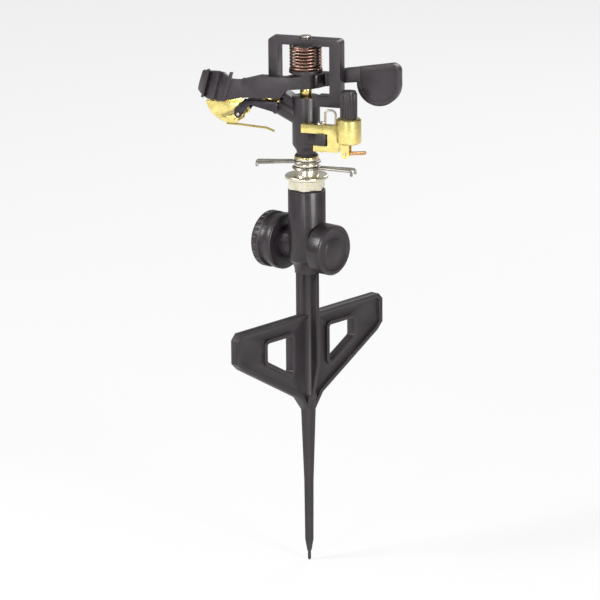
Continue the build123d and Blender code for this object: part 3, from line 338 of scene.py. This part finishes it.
@dataclass
class Palette:
    """Every finish of the sprinkler, made once."""

    made: dict[str, bpy.types.Material] = field(default_factory=dict)

    # Black glass-filled nylon, moulded: near black with a warm violet cast and a satin glare, which is a
    # painted sheen in its colour.
    nylon = MouldedNylon("black glass-filled nylon, moulded", "#1E181C", 0.36)
    # The stake is polypropylene from a coarser mould: a touch greyer and duller.
    polypropylene = MouldedNylon(
        "black polypropylene, moulded", "#1D181B", 0.42, glare="#41373D", grain_mm=1.2, flow_mm=34.0)
    # Nitrile rubber: matte black with dust in its pores.
    rubber = Compound("black nitrile rubber", "#1E1C1C", 0.75, bloom="#55504D", ior=1.52)
    # Acetal thrust washers: ivory, slightly waxy.
    acetal = Compound("ivory acetal", "#E6E1D2", 0.42, bloom="#B9B09A", ior=1.48)
    # Zinc die casting with a thin clear plate: pale cream where it reflects, grey in its hollows.
    zinc = Metal("zinc casting, clear plated", "#E9E3D2", 0.24, tarnish="#C9B878", mark_mm=0.7, patch=0.45)
    # Brass turned on a lathe: warm yellow with rings from the tool.
    brass = Metal("brass, turned", "#E8CC80", 0.22, tarnish="#9A7B3A", form=Form.TURNED, mark_mm=0.4)
    # Steel sheet with yellow zinc plate: bright gold with greenish and bronze patches.
    gold_plate = Metal(
        "pressed steel, yellow zinc plate", "#F3E192", 0.27, tarnish="#B5A552", mark_mm=0.6, patch=0.4)
    # Phosphor bronze strip: reddish, rolled.
    bronze = Metal("phosphor bronze strip, rolled", "#CFA070", 0.28, tarnish="#7E5A36", mark_mm=0.5)
    # Brass wire of the flap's handle: duller and greener than the turned brass.
    brass_wire = Metal(
        "brass wire, drawn", "#C9B26A", 0.30, tarnish="#7A6A3A", form=Form.DRAWN, mark_mm=0.3, patch=0.4)
    # Stainless spring wire: bright grey with faint die lines.
    wire = Metal(
        "stainless spring wire, drawn", "#C9C2B6", 0.26, tarnish="#8A6F5C", form=Form.DRAWN, mark_mm=0.3,
        patch=0.35)
    # Oil-tempered spring wire: brown from its heat treatment, brighter where the coils rub.
    tempered = Metal(
        "oil-tempered spring wire", "#9C7A6C", 0.30, tarnish="#4A342E", form=Form.DRAWN, mark_mm=0.3,
        patch=0.55)
    # Zinc-plated wire of the arc stops, duller than stainless; its darker grey and its dark patches are
    # painted shade.
    wire_darkened_as_shade = Metal(
        "zinc-plated wire, shade-darkened", "#A8A49C", 0.34, tarnish="#4E4A48", form=Form.DRAWN, mark_mm=0.4,
        patch=0.6)
    # Carbon steel, blackened: the flap's carrier.
    blackened = Metal("blackened steel", "#4A464C", 0.38, tarnish="#262329", mark_mm=0.6, patch=0.5)

    def get(self, finish: Finish) -> bpy.types.Material:
        """Return a finish's material, made on its first use.

        Args:
            finish: One of the palette's finishes.

        Returns:
            The Blender material.
        """
        if finish.name not in self.made:
            self.made[finish.name] = finish.make()
        return self.made[finish.name]


@dataclass
class Workshop:
    """What every sub-assembly shares: the frame, the palette and the ways to dress a node."""

    frame: dict
    palette: Palette

    def dress(self, node: str, finish: Finish, edge_mm: float = 0.0, segments: int = 2) -> None:
        """Give a rigid node its finish and, if asked, its softened edges.

        Args:
            node: The node's name.
            finish: Its finish.
            edge_mm: The radius of its softened edges, or 0 for none.
            segments: How many steps round a softened edge.
        """
        piece = self.frame["nodes"][node]
        piece.data.materials.clear()
        piece.data.materials.append(self.palette.get(finish))
        for polygon in piece.data.polygons:
            polygon.use_smooth = True
        if edge_mm:
            weld = piece.modifiers.new("weld", "WELD")
            weld.merge_threshold = WELD_MM * MM
            soften = piece.modifiers.new("softened edges", "BEVEL")
            soften.width = edge_mm * MM
            soften.segments = segments
            soften.limit_method = "ANGLE"
            soften.angle_limit = SOFTENED_ANGLE
            soften.harden_normals = True
            soften.miter_outer = "MITER_ARC"
        LOG.info("dressed %s in %s", node, finish.name)

    def add(
        self, name: str, mesh: bpy.types.Mesh, body: str, slot: str, finish: Finish
    ) -> bpy.types.Object:
        """Add a piece of its own to a body.

        Args:
            name: The piece's name.
            mesh: Its mesh, in the frame's metres.
            body: The body it rides on.
            slot: The record's material slot it belongs to; not used.
            finish: Its finish.

        Returns:
            The new object.
        """
        piece = bpy.data.objects.new(name, mesh)
        bpy.context.scene.collection.objects.link(piece)
        mesh.materials.append(self.palette.get(finish))
        for polygon in mesh.polygons:
            polygon.use_smooth = True
        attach(piece, body)
        LOG.info("added %s on %s", name, body)
        return piece


def tube_mesh(name: str, route: list[Vector], radius: float, sides: int) -> bpy.types.Mesh:
    """Return a round tube along a route, capped at both ends.

    Args:
        name: The mesh's name.
        route: The points of its centre line.
        radius: The tube's radius.
        sides: How many faces go round it.

    Returns:
        The tube's mesh.
    """
    shape = bmesh.new()
    rings = []
    side = None
    for index, point in enumerate(route):
        before = route[max(index - 1, 0)]
        after = route[min(index + 1, len(route) - 1)]
        along = (after - before).normalized()
        if side is None:
            side = along.orthogonal().normalized()
        side = (side - along * side.dot(along)).normalized()
        other = along.cross(side)
        ring = []
        for step in range(sides):
            turn = 2 * math.pi * step / sides
            ring.append(shape.verts.new(point + radius * (math.cos(turn) * side + math.sin(turn) * other)))
        rings.append(ring)
    for low, high in zip(rings, rings[1:]):
        for step in range(sides):
            following = (step + 1) % sides
            shape.faces.new((low[step], low[following], high[following], high[step]))
    shape.faces.new(list(reversed(rings[0])))
    shape.faces.new(rings[-1])
    bmesh.ops.recalc_face_normals(shape, faces=shape.faces)
    mesh = bpy.data.meshes.new(name)
    shape.to_mesh(mesh)
    shape.free()
    return mesh


def profile_helix_mesh(
    name: str, profile: list[tuple[float, float]], pitch: float, turns: float, steps: int = 48
) -> bpy.types.Mesh:
    """Return a thread: a small profile swept along a helix about Z, fading in and out.

    Args:
        name: The mesh's name.
        profile: The profile's points as (radius, height) in metres, its crest in the middle.
        pitch: The thread's rise in each turn.
        turns: How many turns it has.
        steps: How many steps a turn has.

    Returns:
        The thread's mesh.
    """
    shape = bmesh.new()
    rings = []
    total = int(turns * steps)
    root = profile[0][0]
    for index in range(total + 1):
        turn = 2 * math.pi * index / steps
        fade = min(1.0, index / (steps / 4), (total - index) / (steps / 4))
        ring = []
        for radius, height in profile:
            reach = root + (radius - root) * max(fade, 0.02)
            ring.append(shape.verts.new(
                (reach * math.cos(turn), reach * math.sin(turn), height + pitch * index / steps)))
        rings.append(ring)
    for low, high in zip(rings, rings[1:]):
        for step in range(len(profile)):
            following = (step + 1) % len(profile)
            shape.faces.new((low[step], low[following], high[following], high[step]))
    shape.faces.new(list(reversed(rings[0])))
    shape.faces.new(rings[-1])
    bmesh.ops.recalc_face_normals(shape, faces=shape.faces)
    mesh = bpy.data.meshes.new(name)
    shape.to_mesh(mesh)
    shape.free()
    return mesh


def box_of(node: str) -> tuple[Vector, Vector]:
    """Return a node's lowest and highest corner as vectors."""
    low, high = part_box(node)
    return Vector(low), Vector(high)


@dataclass
class GroundStake:
    """The moulded stake with its step wings."""

    shop: Workshop
    edge_mm: float = 0.45

    def build(self) -> None:
        """Dress the stake."""
        self.shop.dress("stake", self.shop.palette.polypropylene, self.edge_mm)


@dataclass
class Supply:
    """The in-line tee, its hose coupling and its end cap."""

    shop: Workshop
    thread_pitch_mm: float = 2.2
    thread_depth_mm: float = 1.0
    thread_turns: float = 3.6
    mouth_gap_mm: float = 0.3

    def build(self) -> None:
        """Dress the tee's pieces and cut the coupling's thread."""
        palette = self.shop.palette
        self.shop.dress("inline_tee", palette.nylon, 0.4)
        self.shop.dress("hose_coupling", palette.nylon, 0.3)
        self.shop.dress("hose_washer", palette.rubber, 0.3)
        self.shop.dress("end_cap", palette.nylon, 0.4)
        self.shop.dress("end_cap_washer", palette.rubber)
        self.add_hose_thread()

    def add_hose_thread(self) -> None:
        """Add the female hose thread inside the coupling's mouth."""
        low, high = box_of("hose_coupling")
        mounts = self.shop.frame["record"]["mounts"]
        mount = next(entry for entry in mounts if entry["name"] == "hose_inlet")
        wall = mount["dims"]["r_mm"] * MM
        half = self.thread_pitch_mm * MM * 0.36
        crest = self.thread_depth_mm * MM
        profile = [(wall, -half), (wall - crest, -half * 0.3), (wall - crest, half * 0.3), (wall, half)]
        mesh = profile_helix_mesh(
            "hose thread", profile, self.thread_pitch_mm * MM, self.thread_turns)
        axis_z = (low.z + high.z) / 2
        start = low.x + half + self.mouth_gap_mm * MM
        onto_axis = Matrix.Translation((start, 0, axis_z)) @ Matrix.Rotation(math.radians(90), 4, "Y")
        mesh.transform(onto_axis)
        self.shop.add("hose_thread", mesh, "coupling", "black_plastic", self.shop.palette.nylon)


@dataclass
class Bearing:
    """The nipple that carries the head, its washers and the two arc stops."""

    shop: Workshop

    def build(self) -> None:
        """Dress the bearing's pieces."""
        palette = self.shop.palette
        self.shop.dress("bearing_nipple", palette.zinc, 0.3)
        self.shop.dress("nipple_gasket", palette.rubber)
        self.shop.dress("bearing_spring", palette.wire)
        # The arc stops wear the wire darkened as painted shade.
        self.shop.dress("arc_stop_low", palette.wire_darkened_as_shade)
        self.shop.dress("arc_stop_high", palette.wire_darkened_as_shade)
        self.shop.dress("bearing_tube", palette.brass, 0.2)
        self.shop.dress("lower_thrust_washer", palette.acetal)
        self.shop.dress("upper_thrust_washer", palette.brass, 0.2)
        self.shop.dress("seal_washer", palette.rubber, 0.2)


@dataclass
class Head:
    """The head's body with its bridge, nozzle and the pins in it."""

    shop: Workshop

    def build(self) -> None:
        """Dress the head's pieces."""
        palette = self.shop.palette
        self.shop.dress("sprinkler_body", palette.nylon, 0.6, 3)
        self.shop.dress("nozzle", palette.brass, 0.15)
        self.shop.dress("flap_bracket", palette.blackened, 0.15)
        self.shop.dress("flap_pivot", palette.wire, 0.15)
        self.shop.dress("fulcrum_pin", palette.wire, 0.3)
        self.shop.dress("hub_sleeve", palette.brass, 0.2)
        self.shop.dress("spring_cap", palette.nylon, 0.3)
        self.shop.dress("trip_pivot", palette.wire, 0.2)


@dataclass
class ImpactArm:
    """The arm with its spoon and paddle, its bush and its spring."""

    shop: Workshop
    wire_mm: float = 1.7
    turns: float = 7.0
    flat_turns: float = 0.9
    steps: int = 40
    sides: int = 14

    def build(self) -> None:
        """Dress the arm's pieces and wind its spring."""
        palette = self.shop.palette
        self.shop.dress("impact_arm", palette.nylon, 0.5, 3)
        self.shop.dress("arm_bushing", palette.brass, 0.2)
        self.add_spring()

    def add_spring(self) -> None:
        """Wind the arm spring from round wire, with its end coils laid flat."""
        low, high = box_of("arm_spring")
        half = self.wire_mm * MM / 2
        radius = (high.x - low.x) / 2 - half
        total = int((self.turns + self.flat_turns) * self.steps)
        route = []
        for index in range(total + 1):
            turned = index / self.steps
            share = min(1.0, max(0.0, (turned - self.flat_turns / 2) / self.turns))
            spot = 2 * math.pi * turned
            height = low.z + half + share * (high.z - low.z - 2 * half)
            route.append(Vector((radius * math.cos(spot), radius * math.sin(spot), height)))
        mesh = tube_mesh("arm spring", route, half, self.sides)
        spring = self.shop.add("arm_coil", mesh, "arm", "steel", self.shop.palette.tempered)
        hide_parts("arm_spring")


@dataclass
class DistanceFlap:
    """The gold scoop under the stream and its wire handle."""

    shop: Workshop

    def build(self) -> None:
        """Dress the flap's pieces."""
        palette = self.shop.palette
        self.shop.dress("distance_flap", palette.gold_plate, 0.2)
        self.shop.dress("flap_handle", palette.brass_wire)


@dataclass
class Trip:
    """The trip lever, its head, spring and finger."""

    shop: Workshop

    def build(self) -> None:
        """Dress the trip's pieces."""
        palette = self.shop.palette
        self.shop.dress("trip_lever", palette.gold_plate, 0.4, 3)
        self.shop.dress("trip_head", palette.nylon, 0.3)
        self.shop.dress("trip_spring", palette.wire)
        self.shop.dress("finger_pin", palette.wire, 0.15)
        self.shop.dress("trip_finger", palette.bronze, 0.2)


@dataclass
class Studio:
    """A plain pale floor, soft lights and the camera at the photograph's angle."""

    azimuth: float = 40.5
    elevation: float = 14.5
    distance: float = 4.5
    lens: float = 365.0
    roll: float = 0.45
    aim_height: float = 0.2004
    aim_aside: float = -0.0056
    floor_size: float = 14.0
    floor_white: float = 0.72
    room_light: float = 0.36
    lamp_aim_height: float = 0.25

    def build(self) -> None:
        """Set up the floor, the world, the lamps and the camera."""
        self.add_floor()
        self.set_world()
        # The key light stands high on the left, as the glare on the coupling shows.
        self.add_lamp("key", (-0.9, -1.5, 1.5), 0.7, 30.0)
        # A second soft light on the right glares off the rear post and the end cap's face.
        self.add_lamp("right", (1.7, -0.5, 0.75), 0.5, 20.0)
        # A narrow one beside the camera draws the bright line down the riser.
        self.add_lamp("front", (0.55, -1.9, 0.6), 0.3, 8.0)
        # A weak one from behind lifts the edges.
        self.add_lamp("back", (-0.4, 1.6, 1.2), 0.9, 9.0)
        self.add_camera()
        bpy.context.scene.view_settings.view_transform = "Standard"

    def add_floor(self) -> None:
        """Add the floor, which stays white to the camera but keeps the shadow."""
        shape = bmesh.new()
        bmesh.ops.create_grid(shape, x_segments=8, y_segments=8, size=self.floor_size / 2)
        mesh = bpy.data.meshes.new("floor")
        shape.to_mesh(mesh)
        shape.free()
        floor = bpy.data.objects.new("floor", mesh)
        bpy.context.scene.collection.objects.link(floor)
        material = bpy.data.materials.new("white paper floor")
        material.use_nodes = True
        tree = material.node_tree
        tree.nodes.clear()
        paper = add_node(tree, "ShaderNodeBsdfDiffuse", {"Color": srgb("#F4F4F4")})
        glow = add_node(tree, "ShaderNodeEmission", {"Color": srgb("#FFFFFF"), "Strength": 1.0})
        rays = add_node(tree, "ShaderNodeLightPath")
        seen = add_node(
            tree, "ShaderNodeMath", {"operation": "MAXIMUM"},
            {0: rays.outputs["Is Camera Ray"], 1: rays.outputs["Is Transmission Ray"]})
        share = add_node(
            tree, "ShaderNodeMath", {"operation": "MULTIPLY", 1: self.floor_white},
            {0: seen.outputs["Value"]})
        mixed = add_node(
            tree, "ShaderNodeMixShader", links={
                0: share.outputs["Value"], 1: paper.outputs["BSDF"], 2: glow.outputs["Emission"]})
        add_node(tree, "ShaderNodeOutputMaterial", links={"Surface": mixed.outputs["Shader"]})
        mesh.materials.append(material)

    def set_world(self) -> None:
        """Light the room softly, and show white to the camera."""
        world = bpy.data.worlds.new("white room")
        bpy.context.scene.world = world
        world.use_nodes = True
        tree = world.node_tree
        tree.nodes.clear()
        rays = add_node(tree, "ShaderNodeLightPath")
        seen = add_node(
            tree, "ShaderNodeMath", {"operation": "MAXIMUM"},
            {0: rays.outputs["Is Camera Ray"], 1: rays.outputs["Is Transmission Ray"]})
        strength = add_node(
            tree, "ShaderNodeMapRange", {"To Min": self.room_light, "To Max": 1.0},
            {"Value": seen.outputs["Value"]})
        light = add_node(
            tree, "ShaderNodeBackground", {"Color": srgb("#FFFFFF")},
            {"Strength": strength.outputs["Result"]})
        add_node(tree, "ShaderNodeOutputWorld", links={"Surface": light.outputs["Background"]})

    def add_lamp(self, name: str, place: tuple[float, float, float], size: float, power: float) -> None:
        """Add a square soft light that faces the sprinkler's middle.

        Args:
            name: The lamp's name.
            place: Where it stands, in metres.
            size: The length of its sides.
            power: Its power in watts.
        """
        data = bpy.data.lights.new(name, "AREA")
        data.shape = "SQUARE"
        data.size = size
        data.energy = power
        lamp = bpy.data.objects.new(name, data)
        bpy.context.scene.collection.objects.link(lamp)
        lamp.location = place
        towards = Vector((0, 0, self.lamp_aim_height)) - lamp.location
        lamp.rotation_euler = towards.to_track_quat("-Z", "Y").to_euler()

    def add_camera(self) -> None:
        """Add the camera, far off with a long lens, tilted a little as the photograph is."""
        turn = math.radians(self.azimuth)
        rise = math.radians(self.elevation)
        flat = math.cos(rise)
        back = Vector((math.sin(turn) * flat, -math.cos(turn) * flat, math.sin(rise)))
        right = Vector((math.cos(turn), math.sin(turn), 0))
        aim = Vector((0, 0, self.aim_height)) + right * self.aim_aside
        data = bpy.data.cameras.new("camera")
        data.lens = self.lens
        data.sensor_width = 36.0
        data.clip_start = 0.1
        data.clip_end = 50.0
        camera = bpy.data.objects.new("camera", data)
        bpy.context.scene.collection.objects.link(camera)
        camera.location = aim + back * self.distance
        facing = (-back).to_track_quat("-Z", "Y").to_matrix().to_4x4()
        tilt = Matrix.Rotation(math.radians(-self.roll), 4, "Z")
        camera.matrix_world = Matrix.Translation(camera.location) @ facing @ tilt
        bpy.context.scene.camera = camera


def main() -> None:
    """Build the dressed sprinkler and its studio."""
    logging.basicConfig(level=logging.INFO, format="%(name)s: %(message)s")
    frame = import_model()
    shop = Workshop(frame, Palette())
    for assembly in (GroundStake, Supply, Bearing, Head, ImpactArm, DistanceFlap, Trip):
        assembly(shop).build()
        LOG.info("built %s", assembly.__name__)
    Studio().build()


if __name__ == "__main__":
    main()
